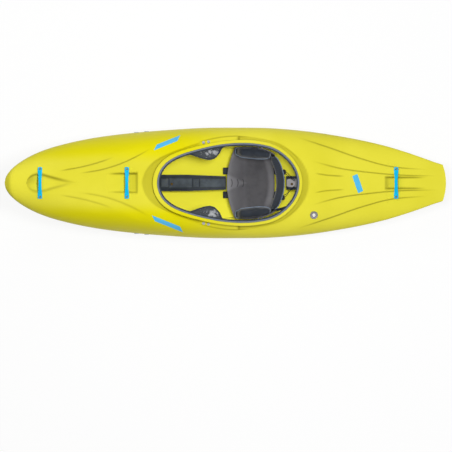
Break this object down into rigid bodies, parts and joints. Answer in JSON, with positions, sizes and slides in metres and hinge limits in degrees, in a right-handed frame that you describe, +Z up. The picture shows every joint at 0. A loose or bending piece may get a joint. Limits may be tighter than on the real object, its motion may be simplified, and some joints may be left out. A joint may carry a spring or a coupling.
{
  "type": "whitewater kayak",
  "caption": "Moulded whitewater kayak with open cockpit, sliding seat, backband, thigh braces, footrest, drain plug and grab handles.",
  "frame": {"origin": "under the middle of the boat, on the level strip of its keel", "axes": "+Z up, bow at -X, stern at +X, port at -Y"},
  "size_m": [2.6999, 0.6766, 0.4808],
  "materials": {
    "shell_plastic": "moulded polyethylene, satin gloss",
    "grey_rubber": "matt rubber",
    "handle_plastic": "glossy moulded plastic",
    "dark_brass": "dark brassed screw",
    "bright_steel": "bright steel",
    "foam_block": "closed-cell foam",
    "rail_plastic": "grained plastic",
    "block_plastic": "light grey plastic",
    "seat_plastic": "grained plastic",
    "padding": "foam under stretch fabric",
    "webbing": "braided cord"
  },
  "bodies": {
    "hull": {"hull_shell": "shell_plastic", "coaming_edge_trim": "grey_rubber", "bow_grab_handle": "handle_plastic", "deck_grab_handle": "handle_plastic", "stern_grab_handle": "handle_plastic", "bow_grab_handle_screw_port": "dark_brass", "bow_grab_handle_screw_starboard": "dark_brass", "deck_grab_handle_screw_port": "dark_brass", "deck_grab_handle_screw_starboard": "dark_brass", "stern_grab_handle_screw_port": "dark_brass", "stern_grab_handle_screw_starboard": "dark_brass", "drain_seat_ring": "bright_steel", "bow_pillar": "foam_block", "stern_pillar": "foam_block", "centre_rail": "rail_plastic", "rail_front_block": "rail_plastic", "rail_latch": "rail_plastic", "rail_front_screw": "dark_brass", "rear_rail": "rail_plastic", "rear_rail_block": "block_plastic", "rear_rail_screw": "dark_brass", "floor_strip_port": "rail_plastic", "floor_strip_starboard": "rail_plastic", "seat_bolt_port_1": "bright_steel", "seat_bolt_port_2": "bright_steel", "seat_bolt_starboard_1": "bright_steel", "seat_bolt_starboard_2": "bright_steel", "thigh_brace_bolt_port_1": "bright_steel", "thigh_brace_bolt_port_2": "bright_steel", "thigh_brace_bolt_starboard_1": "bright_steel", "thigh_brace_bolt_starboard_2": "bright_steel", "footrest_rail_port": "rail_plastic", "footrest_rail_starboard": "rail_plastic", "footrest_bolt_port_1": "bright_steel", "footrest_bolt_port_2": "bright_steel", "footrest_bolt_starboard_1": "bright_steel", "footrest_bolt_starboard_2": "bright_steel"},
    "seat": {"seat_pan": "seat_plastic", "hip_pad_port": "padding", "hip_pad_starboard": "padding", "backband_pin_port": "bright_steel", "backband_pin_starboard": "bright_steel"},
    "backband": {"backband_pad": "padding", "backband_stiffener": "rail_plastic", "backband_buckle_port": "rail_plastic", "backband_buckle_starboard": "rail_plastic", "backband_cord_port": "webbing", "backband_cord_starboard": "webbing"},
    "drain_seal": {"drain_seal": "grey_rubber"},
    "drain_plug": {"drain_plug": "bright_steel"},
    "brace_port": {"thigh_brace_port": "rail_plastic"},
    "brace_starboard": {"thigh_brace_starboard": "rail_plastic"},
    "footrest": {"footrest_plate": "rail_plastic", "footrest_foam": "foam_block"}
  },
  "joints": [
    {"name": "seat_slide", "type": "slide", "parent": "hull", "child": "seat", "axis": [1, 0, 0], "range_m": [-0.02, 0.02]},
    {"name": "backband_tilt", "type": "hinge", "parent": "seat", "child": "backband", "pos_m": [0.287, 0, 0.128], "axis": [0, 1, 0], "range_deg": [0, 15], "deforming": ["backband_cord_port", "backband_cord_starboard"]},
    {"name": "drain_seal_lift", "type": "slide", "parent": "hull", "child": "drain_seal", "axis": [0.0773, -0.237, 0.9684], "range_m": [0, 0.012]},
    {"name": "drain_plug_turn", "type": "hinge", "parent": "drain_seal", "child": "drain_plug", "pos_m": [0.542, -0.197, 0.25063], "axis": [0.0773, -0.237, 0.9684], "range_deg": [0, 1441]},
    {"name": "thigh_brace_port_slide", "type": "slide", "parent": "hull", "child": "brace_port", "axis": [0.9681, 0, -0.2504], "range_m": [-0.015, 0.015]},
    {"name": "thigh_brace_starboard_slide", "type": "slide", "parent": "hull", "child": "brace_starboard", "axis": [0.9681, 0, -0.2504], "range_m": [-0.015, 0.015]},
    {"name": "footrest_slide", "type": "slide", "parent": "hull", "child": "footrest", "axis": [1, 0, 0], "range_m": [-0.06, 0.06]}
  ],
  "couplings": [
    {"joint": "drain_plug_turn", "follows": "drain_seal_lift", "rad_per_m": 2094.4}
  ]
}
